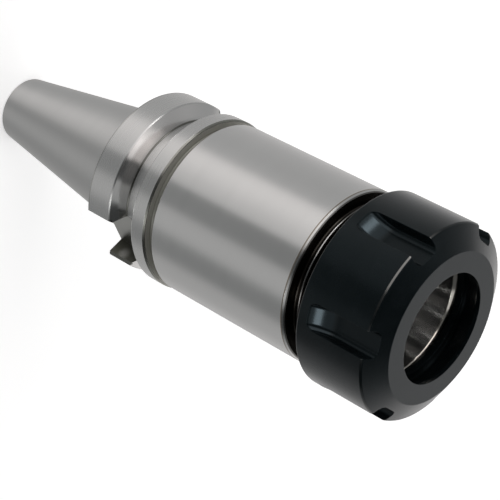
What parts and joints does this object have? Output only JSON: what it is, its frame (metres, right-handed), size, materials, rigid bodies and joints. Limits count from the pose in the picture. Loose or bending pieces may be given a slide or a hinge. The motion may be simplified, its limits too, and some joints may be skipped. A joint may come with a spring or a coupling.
{
  "type": "collet chuck holder",
  "caption": "Steep-taper tool holder with a gripper flange, a long cylindrical body and a slotted clamping nut over its collet socket.",
  "frame": {"origin": "on the axis at the gauge line, where the spindle taper has its gauge diameter of 31.75 mm", "axes": "+Z along the axis from the taper towards the clamping nut; +X and -X through the two drive slots of the flange; +Y by the right-hand rule"},
  "size_m": [0.05, 0.05, 0.1447],
  "materials": {
    "ground_steel": "ground and fine-turned alloy steel, satin, with faint rings round the axis",
    "black_oxide": "turned steel with a thin black oxide coat, satin"
  },
  "bodies": {
    "holder": {"holder_body": "ground_steel"},
    "nut": {"clamping_nut": "black_oxide"}
  },
  "joints": [
    {"name": "nut_turn", "type": "hinge", "parent": "holder", "child": "nut", "pos_m": [0, 0, 0.085], "axis": [0, 0, 1], "range_deg": [-144, 2880]}
  ]
}
